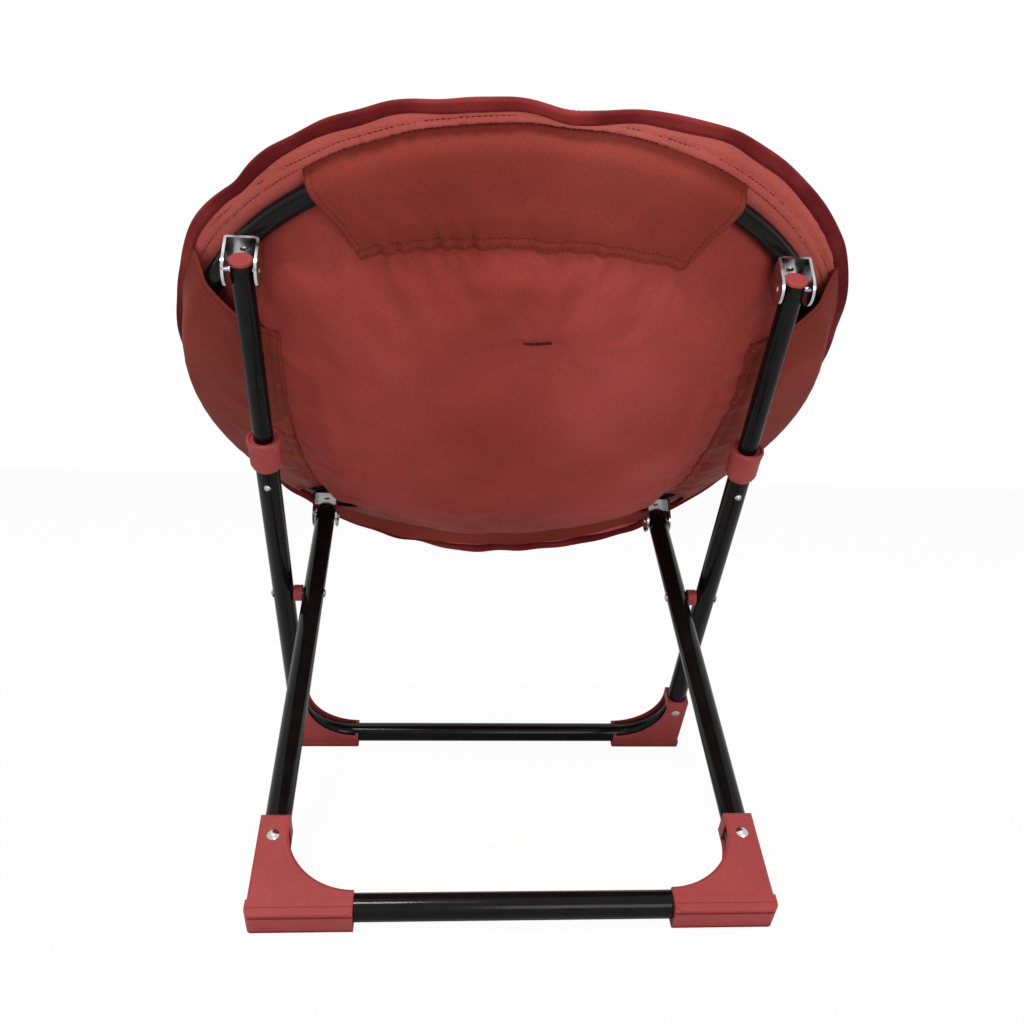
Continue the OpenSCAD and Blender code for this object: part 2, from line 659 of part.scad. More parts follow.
module inner_frame_tube() color(black) at_inner() difference() {
    tube_top = front_pin_reach + pin_margin - plug_flange;
    bent_rod(inner_half_width, inner_low, tube_top, leg_tube / 2);
    bent_rod(inner_half_width, inner_low, tube_top + overrun, leg_tube / 2 - leg_wall);
    cross_hole(inner_half_width, 0, rivet_diameter / 2 + fit, leg_tube + overrun);
    cross_hole(inner_half_width, front_pin_reach, pin_diameter / 2 + fit, leg_tube + overrun);
    face_hole(inner_half_width, foot_rivet_rise - inner_low, rivet_diameter / 2 + fit, leg_tube);
}

module rear_foot(left) color(red) difference() {
    at_inner() side(left) foot(inner_half_width, inner_low);
    floor_cut();
}

module rear_foot_rivets() at_inner() foot_rivets(inner_half_width, inner_low);

module inner_leg_plugs() color(red) at_inner() both_sides() translate([inner_half_width, 0, 0])
    plug(leg_tube / 2 - leg_wall, leg_tube / 2, front_pin_reach + pin_margin - plug_flange,
        front_pin_reach);

module inner_pivot_rivets() color(steel) at_inner() both_sides()
    translate([inner_half_width - leg_tube / 2, 0, 0]) rotate([0, -90, 0])
        rivet(rivet_head, rivet_rise, rivet_diameter, leg_tube, false);

outer_frame_tube();
front_foot(true);  // front_left_foot
front_foot(false);  // front_right_foot
front_foot_rivets();
collar(true);  // left_collar
collar(false);  // right_collar
pivot_spacers();
outer_pivot_rivets();
upper_leg(true);  // left_upper_leg
upper_leg(false);  // right_upper_leg
upper_leg_plugs();
snap_springs();
snap_button(true);  // left_snap_button
snap_button(false);  // right_snap_button
hoop_tube_ring();
rear_bracket(true);  // rear_left_bracket
rear_bracket(false);  // rear_right_bracket
front_bracket(true);  // front_left_bracket
front_bracket(false);  // front_right_bracket
bracket_rivets();
rear_bracket_pins();
front_bracket_pins();
seat_pad();
rim_binding();
rear_pocket();
front_pocket();
side_sleeve(true);  // left_side_sleeve
side_sleeve(false);  // right_side_sleeve
inner_frame_tube();
rear_foot(true);  // rear_left_foot
rear_foot(false);  // rear_right_foot
rear_foot_rivets();
inner_leg_plugs();
inner_pivot_rivets();
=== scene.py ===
"""Looks of the child's folding saucer chair. Metres in the part's frame; the seat is shaped in
millimetres in the hoop's frame: u to the sitter's left, v toward the back, w up out of the hoop."""
import json
import math

import bpy
import numpy as np
from mathutils import Matrix, Vector


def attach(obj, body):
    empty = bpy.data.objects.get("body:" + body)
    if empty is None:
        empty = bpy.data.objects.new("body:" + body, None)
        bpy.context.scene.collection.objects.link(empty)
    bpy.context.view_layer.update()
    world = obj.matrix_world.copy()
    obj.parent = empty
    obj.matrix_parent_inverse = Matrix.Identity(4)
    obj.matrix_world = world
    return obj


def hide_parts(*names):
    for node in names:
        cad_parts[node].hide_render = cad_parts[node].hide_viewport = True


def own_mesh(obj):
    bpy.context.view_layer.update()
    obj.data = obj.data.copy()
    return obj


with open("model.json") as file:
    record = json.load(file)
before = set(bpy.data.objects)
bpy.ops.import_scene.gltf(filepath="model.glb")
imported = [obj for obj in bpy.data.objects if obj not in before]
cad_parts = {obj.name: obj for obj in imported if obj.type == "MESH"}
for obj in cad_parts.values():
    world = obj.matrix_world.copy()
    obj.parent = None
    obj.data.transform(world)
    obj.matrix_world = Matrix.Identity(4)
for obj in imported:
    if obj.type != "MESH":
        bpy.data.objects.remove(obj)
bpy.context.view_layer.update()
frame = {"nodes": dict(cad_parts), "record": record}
scene = bpy.context.scene

# ---------------------------------------------------------------- camera at the photograph's angle
TURN, DOWN, ROLL = -0.07524, 0.08322, 0.02464
CAMERA_PLACE = (0.058685, 0.877736, 0.343071)
LENS, SENSOR = 35.588, 36
ahead = Vector((math.sin(TURN) * math.cos(DOWN), -math.cos(TURN) * math.cos(DOWN), -math.sin(DOWN)))
level = Vector((-math.cos(TURN), -math.sin(TURN), 0))
over = level.cross(ahead)
right = level * math.cos(ROLL) + over * math.sin(ROLL)
above = over * math.cos(ROLL) - level * math.sin(ROLL)
lens = bpy.data.cameras.new("camera")
lens.lens, lens.sensor_width, lens.clip_start, lens.clip_end = LENS, SENSOR, 0.02, 50
camera = bpy.data.objects.new("camera", lens)
scene.collection.objects.link(camera)
camera.matrix_world = Matrix.Translation(CAMERA_PLACE) @ Matrix((right, above, -ahead)).transposed().to_4x4()
scene.camera = camera

# ---------------------------------------------------------------- the hoop's frame and the seat's sizes
MM = 1000                   # millimetres in a metre
CENTRE = np.array([0, -0.00490233, 0.38048095])
BACK = np.array([0, 0.838629, 0.544704])
UP = np.array([0, -0.544704, 0.838629])
RING = 258.0                # radius of the hoop's middle line
WRAP = 8.9                  # from that line to the cloth that lies on the tube
BOWL = RING - WRAP          # radius of the underside's bowl
CROWN = 0.93 * BOWL         # radius of the sitter's bowl
SAG, THICK = 92.0, 12.0     # the bowl's depth, and the pad's thickness
POWER = 2.6                 # how flat the bowl's bottom is
TACK = (-11.5, 138.5)       # middle of the sewn bar, [u, v]
BAR = 11                    # half its length
TWIN = (271.5, 277.5)       # radii of the two seams outside the hoop
HALF = 2.2                  # half the thickness of the cloth's edge
EDGE = 3.0                  # how far that edge stays inside the tape's
FREE = 1.5                  # what tape and panels leave uncovered of the cloth next to the hoop
LEAST = 3.5                 # least thickness of the pad, at the sewn bar
RIM_MEAN = 280              # the rim's mean radius, for the length of its waves
TAPE_THICK, PANEL_THICK = 0.9, 1.0
N = 121                     # points each way on the pad's faces
WRAP_ROWS, FLANGE_ROWS, TOP_STEPS = 5, 15, 5
TAPE_COLS, PANEL_COLS, PANEL_ROWS = 480, 121, 44
SEAM_ROW = 4                # row of a panel that carries its second seam

# The rim's outer edge as [degrees from the back toward the sitter's left, distance from the centre]
RIM = [(-177, 283), (-164, 287), (-148, 293), (-139, 285), (-130, 282), (-113, 282), (-106, 273),
       (-98, 273), (-87, 276), (-75, 281), (-64, 292), (-54, 301), (-43, 306), (-35, 310), (-27, 311),
       (-19, 305), (-14, 300), (-9, 290), (-4, 286), (0, 292), (3, 296), (8, 298), (12, 297),
       (16, 302), (19, 305), (24, 304), (30, 303), (36, 302), (40, 298), (44, 291), (47, 294),
       (50, 295), (56, 292), (64, 283), (72, 278), (81, 276), (87, 272), (99, 268), (111, 271),
       (120, 274), (133, 282), (145, 283), (154, 283), (164, 280), (171, 285), (178, 287)]


def to_frame(p):
    """Points [u, v, w] in millimetres of the hoop's frame, as points of the part's frame."""
    p = np.asarray(p, float) / MM
    return CENTRE + p[..., :1] * np.array([1, 0, 0]) + p[..., 1:2] * BACK + p[..., 2:3] * UP


def at_angle(p, a):
    """Points or directions [distance, height] at the angles a, as [u, v, w]."""
    return np.stack([p[..., 0] * np.sin(a), p[..., 0] * np.cos(a), p[..., 1]], -1)


def ease(x):
    """0 below 0, 1 above 1 and a soft step between."""
    x = np.clip(x, 0, 1)
    return x * x * (3 - 2 * x)


def hump(x, wide):
    """A bell of height 1 round x = 0."""
    return np.exp(-(x / wide) ** 2)


def lumps(x, y, length, seed, count=16):
    """Soft random unevenness, about -1 to 1, whose waves are about length long."""
    r = np.random.default_rng(seed)
    out = 0
    for _ in range(count):
        turn, k, phase = r.uniform(0, 2 * np.pi), 2 * np.pi / length * r.uniform(0.6, 1.4), r.uniform(0, 7)
        out = out + np.sin(k * (x * np.cos(turn) + y * np.sin(turn)) + phase)
    return out / math.sqrt(count)


def uneven(x, y, rows):
    """The sum of lumps given as [height, length, seed]."""
    return sum(height * lumps(x, y, length, seed) for height, length, seed in rows)


def ripple(x, length, seed, count=7):
    """Uneven waves along a line."""
    r = np.random.default_rng(seed)
    return sum(np.sin(2 * np.pi / (length * r.uniform(0.7, 1.5)) * x + r.uniform(0, 7))
               for _ in range(count)) / math.sqrt(count)


def waves(a, length, seed, count=7):
    """Uneven waves round the rim, which meet where they began; a is the angle."""
    r = np.random.default_rng(seed)
    out = 0
    for _ in range(count):
        k = max(1, round(2 * np.pi * RIM_MEAN / (length * r.uniform(0.7, 1.5))))
        out = out + np.sin(k * a + r.uniform(0, 7))
    return out / math.sqrt(count)


def off_line(x, y, line):
    """Distance of points from a polyline, and the place along it."""
    best, at, done = np.full(np.shape(x), 1e9), np.zeros(np.shape(x)), 0.0
    for (x0, y0), (x1, y1) in zip(line[:-1], line[1:]):
        dx, dy = x1 - x0, y1 - y0
        long = math.hypot(dx, dy)
        t = np.clip(((x - x0) * dx + (y - y0) * dy) / long ** 2, 0, 1)
        d = np.hypot(x - x0 - t * dx, y - y0 - t * dy)
        at = np.where(d < best, done + t * long, at)
        best = np.minimum(best, d)
        done += long
    return best, at


# ---------------------------------------------------------------- the rim and the cloth outside the hoop
def blend3(back, side, front, a):
    """Goes softly from the back's value over the sides' to the front's."""
    c = np.cos(a)
    return side + np.where(c > 0, back - side, front - side) * c * c


marks = np.array(RIM, float)
circle = np.radians(np.arange(0, 360, 0.5))
raw = np.interp(np.degrees(circle), marks[:, 0], marks[:, 1], period=360)
bell = hump(np.linspace(-2, 2, 13), 1)
rim_curve = np.convolve(np.concatenate([raw[-6:], raw, raw[:6]]), bell / bell.sum(), mode="valid")


def rim_plain(a):
    """The rim without its waves."""
    return blend3(285.0, 275.0, 288.0, a)


def rim_extra(a):
    """The rim's waves."""
    return np.interp(np.degrees(a) % 360, np.degrees(circle), rim_curve, period=360) - rim_plain(a)


def rim_reach(a):
    """Distance of the tape's outer edge. Half of a wave at the back and front is in rim_lift."""
    return rim_plain(a) + rim_extra(a) * (1 - 0.5 * np.cos(a) ** 2)


def rim_lift(a):
    """Height of the tape's middle."""
    wave = 0.33 * rim_extra(a) * np.cos(a) ** 2 * np.sign(np.cos(a))
    return blend3(6.8, 14.5, -21.5, a) + wave + 0.8 * waves(a, 60, 5)


def flange(a):
    """Underside of the cloth that leaves the hoop's top for the rim: its start, end, direction and
    length, the outward side, all as [distance, height], and the angle on the tube where it starts."""
    hoop = np.array([RING, 0.0])
    end = np.stack([rim_reach(a) - EDGE, rim_lift(a) - HALF], -1)
    off = end - hoop
    far = np.linalg.norm(off, axis=-1)
    turn = np.arctan2(off[..., 1], off[..., 0]) + np.arccos(np.minimum(1, WRAP / far))
    start = hoop + WRAP * np.stack([np.cos(turn), np.sin(turn)], -1)
    run = end - start
    long = np.linalg.norm(run, axis=-1)
    unit = run / long[..., None]
    return start, end, unit, long, np.stack([unit[..., 1], -unit[..., 0]], -1), turn


def back_from(a, r):
    """Distance from the flange's end back to where it is r from the centre."""
    _, end, unit, _, _, _ = flange(a)
    return (end[..., 0] - r) / np.maximum(unit[..., 0], 0.3)


def top_run(edge_up, crest):
    """The point halfway from the cloth's upper edge to the hoop's crest, raised a little."""
    return (edge_up + crest) / 2 + THICK / 4


# ---------------------------------------------------------------- seams and folds of the pad, [u, v]
def arc_seam(r0, side, grow, n=25):
    """An arc of side degrees each way from the back, r0 from the centre and grow more at its ends."""
    t = np.linspace(-1, 1, n)
    a = np.radians(side) * t
    r = r0 + grow * t * t
    return [(float(x), float(y)) for x, y in zip(r * np.sin(a), r * np.cos(a))]


POCKET_SEAMS = [arc_seam(212, 32.5, 9), arc_seam(205.5, 32, 9)]
SLEEVE_SEAMS = {1: [(181, 103), (178, 94), (179, 42), (178, -12), (174, -60), (171, -98), (172, -146)],
                -1: [(-184, 103), (-182, 94), (-181, 45), (-178, 5), (-174, -50), (-172, -98), (-172, -146)]}
BAR_LINE = [(TACK[0] - BAR, TACK[1]), (TACK[0] + BAR, TACK[1])]


def under(r):
    """Height of the plain underside."""
    return -SAG * (1 - np.minimum(1, r / BOWL) ** POWER)


def top(r):
    """Height of the plain sitter's side."""
    return THICK - SAG + (SAG + THICK / 3 - THICK) * (r / CROWN) ** POWER


def from_bar(u, v):
    """Place from the sewn bar's middle, and the distance past its ends along it."""
    x, y = u - TACK[0], v - TACK[1]
    return x, y, np.maximum(np.abs(x) - BAR, 0)


def tack_fold(u, v):
    """Pull of the sewn bar: a dimple, a crease out of each end and soft folds that run down from it."""
    x, y, along = from_bar(u, v)
    d = np.hypot(along, y)
    dimple = 4.0 * hump(d, 15) + 2.4 * hump(np.hypot(along * 0.6, y), 34)
    turn = np.arctan2(y, x)
    rays = (np.cos(5 * turn + 0.7) + 0.6 * np.cos(8 * turn + 2.1)) * np.exp(-d / 42) * (1 - hump(d, 9))
    crease = 1.7 * np.exp(-(y + 0.1 * np.abs(x)) ** 2 / 30) * np.exp(-along / 45)
    return dimple + 1.8 * rays + crease


def drawn_in(w, u, v, line, seed, dip, narrow, height, length, reach):
    """w with a seam drawn in along the line, and with gathers of the given length beside it."""
    d, at = off_line(u, v, line)
    return w + dip * hump(d, narrow) + height * ripple(at, length, seed) * hump(d, reach)


def soft_under(u, v):
    """What the cloth of the underside does between its seams; down is out."""
    r, side = np.hypot(u, v), np.abs(u)
    w = uneven(u, v, [(1.5, 150, 1), (0.9, 62, 2), (0.35, 26, 3)])
    folds = np.cos((side - 178 + 5 * lumps(u, v, 120, 4)) / 27 * 2 * np.pi * 0.9)
    w = w - 1.7 * folds * hump(side - 150, 30) * ease((110 - v) / 60) * ease((v + 190) / 60)
    low = np.cos((v + 95 + 9 * lumps(u, v, 90, 6)) / 34 * 2 * np.pi) * hump(side - 120, 34)
    w = w + 1.2 * low * ease((20 - v) / 50) * ease((v + 200) / 40)
    for line, seed in zip(POCKET_SEAMS, (11, 12)):
        w = drawn_in(w, u, v, line, seed, 1.5, 3.5, 0.7, 15, 12)
    d, _ = off_line(u, v, POCKET_SEAMS[1])
    w = w + 0.9 * np.sin(d / 4.5) * np.exp(-d / 22) * (r < 206)
    for hand, seed in ((1, 13), (-1, 14)):
        w = drawn_in(w, u, v, SLEEVE_SEAMS[hand], seed, 1.8, 4, 1.0, 19, 16)
    return w * ease((BOWL - r) / 26) + tack_fold(u, v) * ease((BOWL - r) / 40)


def fine_pull(u, v):
    """Creases at the sewn bar and gathers along the seams, laid on after the cloth has settled."""
    _, y, along = from_bar(u, v)
    w = sum(height * np.exp(-((y - place) / wide) ** 2 - (along / reach) ** 2)
            for height, place, wide, reach in ((2.2, 0, 4.6, 8), (-3.4, -10, 5.2, 20), (-0.8, 9, 6, 16)))
    w = drawn_in(w, u, v, POCKET_SEAMS[1], 12, 1.2, 4, 0.8, 15, 12)
    for hand, seed in ((1, 13), (-1, 14)):
        w = drawn_in(w, u, v, SLEEVE_SEAMS[hand], seed, 1.2, 4, 0.7, 17, 12)
    return w * ease((BOWL - np.hypot(u, v)) / 26)


def soft_top(u, v):
    """The same for the sitter's side."""
    r = np.hypot(u, v)
    w = uneven(u, v, [(1.3, 130, 21), (0.8, 55, 22), (0.3, 24, 23)])
    return w * ease((CROWN + 30 - r) / 60) - 0.35 * tack_fold(u, v) * ease((CROWN - r) / 40)


# ---------------------------------------------------------------- mesh helpers
def curve_rows(keys, steps):
    """Smooth rows through key points: keys is a list of [..., 2] arrays."""
    k = [2 * keys[0] - keys[1], *keys, 2 * keys[-1] - keys[-2]]
    rows = []
    for p0, p1, p2, p3 in zip(k[:-3], k[1:-2], k[2:-1], k[3:]):
        for s in range(steps):
            t = s / steps
            rows.append(0.5 * (2 * p1 + (p2 - p0) * t + (2 * p0 - 5 * p1 + 4 * p2 - p3) * t * t
                               + (3 * p1 - p0 - 3 * p2 + p3) * t ** 3))
    return rows + [keys[-1]]


def make(name, points, faces, finish, corners=None):
    """A mesh piece; corners gives each face corner's flat cloth place in metres."""
    mesh = bpy.data.meshes.new(name)
    mesh.from_pydata([tuple(p) for p in points], [], faces)
    mesh.update()
    mesh.shade_smooth()
    if corners is not None:
        layer = mesh.uv_layers.new(name="flat")
        layer.data.foreach_set("uv", np.asarray(corners, np.float32).ravel())
    mesh.materials.append(finish)
    piece = bpy.data.objects.new(name, mesh)
    scene.collection.objects.link(piece)
    return piece


def normals_of(p):
    """Unit normals of a grid of points [columns, rows, 3]."""
    n = np.cross(np.gradient(p, axis=0), np.gradient(p, axis=1))
    return n / np.maximum(np.linalg.norm(n, axis=-1, keepdims=True), 1e-9)


def mean_step(p, axis):
    """Mean distance between neighbours of a grid."""
    return float(np.linalg.norm(np.diff(p, axis=axis), axis=-1).mean())


def along_line(p):
    """Distance along a line of points."""
    return np.concatenate([[0], np.cumsum(np.linalg.norm(np.diff(p, axis=0), axis=1))])


def cloth_sheet(name, p, thick, finish, round_cols=False, flip=False):
    """A closed thin sheet whose one face is the grid p of hoop points, the other thick away from it,
    with its area in square metres."""
    n = normals_of(p) * (-1 if flip else 1)
    far = p + n * thick
    near = p + n * thick * 0.5
    sides = []
    for end, inner in ((0, 1), (-1, -2)):
        run = p[:, [end]] - p[:, [inner]]
        sides.append(near[:, [end]] + run / np.linalg.norm(run, axis=-1, keepdims=True) * thick * 0.5)
    loop = np.concatenate([p, sides[1], far[:, ::-1], sides[0]], axis=1)
    cols, rows = loop.shape[:2]
    step_c, step_r = mean_step(p, 0) / MM, mean_step(p, 1) / MM
    faces, corners = [], []
    for c in range(cols if round_cols else cols - 1):
        c2 = (c + 1) % cols
        for r in range(rows):
            r2 = (r + 1) % rows
            faces.append((c * rows + r, c2 * rows + r, c2 * rows + r2, c * rows + r2))
            corners += [(c * step_c, r * step_r), ((c + 1) * step_c, r * step_r),
                        ((c + 1) * step_c, (r + 1) * step_r), (c * step_c, (r + 1) * step_r)]
    if not round_cols:
        m = p.shape[1]
        for c in (0, cols - 1):
            way = 1 if c == 0 else -1
            for r in range(m - 1):
                q = (c * rows + r, c * rows + r + 1, c * rows + 2 * m - 1 - r, c * rows + 2 * m - r)
                faces.append(q[::way])
                corners += [(0, r * step_r), (0, (r + 1) * step_r), (thick / MM, (r + 1) * step_r),
                            (thick / MM, r * step_r)]
            for q in ((m - 1, m, m + 1), (2 * m, 2 * m + 1, 0)):
                faces.append(tuple(c * rows + i for i in q)[::way])
                corners += [(0, 0)] * 3
    d1, d2 = np.diff(p, axis=0)[:, :-1], np.diff(p, axis=1)[:-1]
    area = float(np.linalg.norm(np.cross(d1, d2), axis=-1).sum()) / MM ** 2
    return make(name, to_frame(loop.reshape(-1, 3)), faces, finish, corners), area


# A stitch as rings of [share of its length, share of its width, rise as a share of its width]
STITCH = [(0.0, 0.45, -0.25), (0.18, 1, 0.1), (0.5, 1, 0.3), (0.82, 1, 0.1), (1.0, 0.45, -0.25)]
SIDES = 6


def stitches(name, lines, finish, long=2.7, gap=1.1, wide=0.3, sink=0.16):
    """Thread stitches along lines of [points, normals] in the hoop's frame."""
    verts, faces = [], []
    turns = np.linspace(0, 2 * np.pi, SIDES, endpoint=False)
    for pts, nrm in lines:
        s = along_line(pts)

        def between(rows, x):
            return np.array([np.interp(x, s, rows[:, i]) for i in range(3)])
        at = 0.6
        while at + long < s[-1]:
            p0, p1 = between(pts, at), between(pts, at + long)
            n = between(nrm, at + long / 2)
            n /= np.linalg.norm(n)
            d = (p1 - p0) / max(np.linalg.norm(p1 - p0), 1e-9)
            side = np.cross(d, n)
            base = len(verts)
            for share, size, rise in STITCH:
                mid = p0 + (p1 - p0) * share + n * (wide * (0.6 + rise) - sink)
                verts += [mid + (side * np.cos(t) + n * np.sin(t)) * wide * size for t in turns]
            last = base + SIDES * (len(STITCH) - 1)
            for ring in range(base, last, SIDES):
                for i in range(SIDES):
                    j = (i + 1) % SIDES
                    faces.append((ring + i, ring + j, ring + SIDES + j, ring + SIDES + i))
            faces.append(tuple(range(base + SIDES - 1, base - 1, -1)))
            faces.append(tuple(range(last, last + SIDES)))
            at += long + gap
    return make(name, to_frame(np.array(verts)), faces, finish)


# ---------------------------------------------------------------- materials
WAVE = 0.31416              # scale at which a wave texture repeats once a metre


def material(name, base, rough, **sockets):
    """A material with its nodes and its shader."""
    m = bpy.data.materials.new(name)
    m.use_nodes = True
    p = m.node_tree.nodes["Principled BSDF"]
    p.inputs["Base Color"].default_value = (*base, 1)
    p.inputs["Roughness"].default_value = rough
    for key, value in sockets.items():
        p.inputs[key.replace("_", " ")].default_value = value
    return m, m.node_tree, p


def node(tree, kind, **values):
    """A shader node with its sockets or settings."""
    n = tree.nodes.new(kind)
    for key, value in values.items():
        if key in n.inputs:
            n.inputs[key].default_value = value
        else:
            setattr(n, key, value)
    return n


def noise(tree, scale, detail=3.0, rough=0.5):
    """Noise that stays with the piece."""
    place = node(tree, "ShaderNodeTexCoord")
    n = node(tree, "ShaderNodeTexNoise", Scale=scale, Detail=detail, Roughness=rough)
    tree.links.new(place.outputs["Object"], n.inputs["Vector"])
    return n.outputs["Fac"]


def ramp(tree, source, stops):
    """Colours [place, colour] over the source."""
    n = node(tree, "ShaderNodeValToRGB")
    e = n.color_ramp.elements
    while len(e) < len(stops):
        e.new(0.5)
    for el, (pos, colour) in zip(e, stops):
        el.position = pos
        el.color = (*colour, 1)
    tree.links.new(source, n.inputs["Fac"])
    return n.outputs["Color"]


def span(tree, source, low, high):
    """Low to high over the middle of the source."""
    n = node(tree, "ShaderNodeMapRange")
    n.inputs["From Min"].default_value, n.inputs["From Max"].default_value = 0.3, 0.7
    n.inputs["To Min"].default_value, n.inputs["To Max"].default_value = low, high
    tree.links.new(source, n.inputs["Value"])
    return n.outputs["Result"]


def multiply(tree, a, b):
    """Colour a times colour b."""
    n = node(tree, "ShaderNodeMix", data_type="RGBA", blend_type="MULTIPLY")
    n.inputs["Factor"].default_value = 1.0
    tree.links.new(a, n.inputs["A"])
    tree.links.new(b, n.inputs["B"])
    return n.outputs["Result"]


def bumps(tree, p, layers):
    """Bump layers [source, strength, distance] one on another."""
    normal = None
    for source, strength, distance in layers:
        n = node(tree, "ShaderNodeBump", Strength=strength, Distance=distance)
        tree.links.new(source, n.inputs["Height"])
        if normal is not None:
            tree.links.new(normal, n.inputs["Normal"])
        normal = n.outputs["Normal"]
    tree.links.new(normal, p.inputs["Normal"])


def weave(tree, size):
    """Plain weave of warp and weft threads, size metres apart, in the cloth's flat places."""
    place = node(tree, "ShaderNodeTexCoord")
    m = node(tree, "ShaderNodeMath", operation="MULTIPLY")
    for k, axis in enumerate(("X", "Y")):
        w = node(tree, "ShaderNodeTexWave", wave_type="BANDS", bands_direction=axis, wave_profile="SIN",
                 Scale=WAVE / size, Distortion=0.0)
        tree.links.new(place.outputs["UV"], w.inputs["Vector"])
        tree.links.new(w.outputs["Fac"], m.inputs[k])
    return m.outputs["Value"]


def fabric(name, deep, mid, pale, size=0.0009, rough=0.75, crease=0.5, broad_scale=6.0):
    """Woven cloth: its colour in broad patches, yarns and threads, its relief in creases and threads."""
    m, t, p = material(name, mid, rough, Sheen_Weight=0.03, Sheen_Roughness=0.4, Specular_IOR_Level=0.06)
    p.inputs["Sheen Tint"].default_value = (1.0, 0.4, 0.36, 1)
    broad = ramp(t, noise(t, broad_scale, 2.5), [(0.34, deep), (0.52, mid), (0.68, pale)])
    yarn = ramp(t, noise(t, 900.0, 2.0, 0.7), [(0.3, (0.84, 0.83, 0.83)), (0.7, (1.12, 1.1, 1.1))])
    threads = weave(t, size)
    shade = ramp(t, threads, [(0.0, (0.87, 0.85, 0.85)), (0.45, (1.04, 1.04, 1.04))])
    t.links.new(multiply(t, multiply(t, broad, yarn), shade), p.inputs["Base Color"])
    t.links.new(span(t, noise(t, 30.0, 4.0), rough - 0.09, rough + 0.1), p.inputs["Roughness"])
    bumps(t, p, [(noise(t, 22.0), 0.3 * crease, 0.006), (noise(t, 75.0), 0.25 * crease, 0.0018),
                 (threads, 0.3, 0.0002)])
    return m


def plain(name, base, rough, tints=(), rough_by=None, relief=(), **sockets):
    """A material with noises given as [scale, detail]: tints are [noise, two colours with places] and
    multiply, rough_by is [noise, least, most] and relief has bump layers [noise, strength, distance]."""
    m, t, p = material(name, base, rough, **sockets)
    shade = None
    for grain, *stops in tints:
        layer = ramp(t, noise(t, *grain), stops)
        shade = layer if shade is None else multiply(t, shade, layer)
    if shade is not None:
        t.links.new(shade, p.inputs["Base Color"])
    if rough_by:
        t.links.new(span(t, noise(t, *rough_by[0]), *rough_by[1:]), p.inputs["Roughness"])
    bumps(t, p, [(noise(t, *grain), strength, distance) for grain, strength, distance in relief])
    return m


cloth = fabric("seat_cloth", (0.26, 0.039, 0.029), (0.33, 0.053, 0.044), (0.405, 0.073, 0.065))
# Lighter copy of the seat cloth for the flange outside the hoop: painted light, for the light that shines
# through the thin cloth there
painted_backlight_cloth = fabric("flange_painted_backlight", (0.42, 0.079, 0.065), (0.53, 0.115, 0.093), (0.62, 0.16, 0.125),
                    crease=0.7)
panel_cloth = fabric("panel_cloth", (0.185, 0.027, 0.018), (0.232, 0.036, 0.025), (0.295, 0.053, 0.038),
                     rough=0.6, crease=0.4)
tape = fabric("binding_tape", (0.105, 0.007, 0.009), (0.155, 0.013, 0.014), (0.245, 0.028, 0.027),
              size=0.0013, rough=0.62, crease=0.9, broad_scale=16.0)
thread = plain("thread", (0.075, 0.006, 0.007), 0.6, Specular_IOR_Level=0.2,
               tints=[((700.0,), (0.3, (0.05, 0.004, 0.005)), (0.7, (0.11, 0.010, 0.011)))],
               relief=[((2500.0,), 0.3, 0.0002)])
paint = plain("black_paint", (0.005, 0.005, 0.0055), 0.22, Specular_IOR_Level=0.13,
              tints=[((60.0, 4.0), (0.3, (0.0035, 0.0035, 0.004)), (0.7, (0.007, 0.0065, 0.007)))],
              rough_by=((25.0, 5.0), 0.09, 0.17), relief=[((420.0, 2.0), 0.06, 0.0003)])
plastic = plain("red_plastic", (0.33, 0.05, 0.048), 0.45, Specular_IOR_Level=0.2,
                tints=[((22.0, 4.0), (0.3, (0.30, 0.044, 0.042)), (0.7, (0.365, 0.058, 0.055))),
                       ((650.0, 2.0), (0.35, (0.93, 0.93, 0.93)), (0.65, (1.05, 1.05, 1.05)))],
                rough_by=((45.0, 4.0), 0.4, 0.56),
                relief=[((1100.0, 2.0), 0.14, 0.0002), ((70.0, 2.0), 0.05, 0.0008)])
chrome = plain("bright_steel", (0.55, 0.56, 0.58), 0.14, Metallic=1.0,
               tints=[((90.0, 5.0), (0.3, (0.4, 0.41, 0.43)), (0.6, (0.6, 0.61, 0.63)))],
               rough_by=((130.0, 5.0), 0.09, 0.26), relief=[((300.0,), 0.08, 0.0003)])
spring = plain("spring_steel", (0.4, 0.4, 0.41), 0.32, Metallic=1.0,
               rough_by=((200.0, 5.0), 0.24, 0.42), relief=[((600.0,), 0.1, 0.0002)])

FINISH = {"black_tube": paint, "red_plastic": plastic, "bright_steel": chrome, "spring_steel": spring,
          "seat_cloth": cloth, "binding_tape": tape}
for row in frame["record"]["subparts"]:
    shown = frame["nodes"][row["node"]]
    if not shown.data.materials:
        shown.data.materials.append(None)
    for place in shown.material_slots:
        place.link = "OBJECT"
        place.material = FINISH[row["material_slot"]]


# ---------------------------------------------------------------- the pad's faces
def disc(n):
    """Evenly spread points of the unit disc on a square grid, and its rim's indices in order."""
    s = np.linspace(-1, 1, n)
    x, y = np.meshgrid(s, s, indexing="ij")
    flat = np.abs(x) >= np.abs(y)
    with np.errstate(divide="ignore", invalid="ignore"):
        r = np.where(flat, x, y)
        f = np.where(flat, np.pi / 4 * (y / x), np.pi / 2 - np.pi / 4 * (x / y))
    f = np.nan_to_num(f)
    edge = ([(i, 0) for i in range(n - 1)] + [(n - 1, j) for j in range(n - 1)]
            + [(i, n - 1) for i in range(n - 1, 0, -1)] + [(0, j) for j in range(n - 1, 0, -1)])
    return (r * np.cos(f)).ravel(), (r * np.sin(f)).ravel(), [i * n + j for i, j in edge]


du, dv, edge = disc(N)
rim_a = np.arctan2(du[edge], dv[edge])


def grid_quads(flip):
    """Faces of a grid of N by N points."""
    out = []
    for i in range(N - 1):
        for j in range(N - 1):
            q = (i * N + j, (i + 1) * N + j, (i + 1) * N + j + 1, i * N + j + 1)
            out.append((q[0], q[3], q[2], q[1]) if flip else q)
    return out


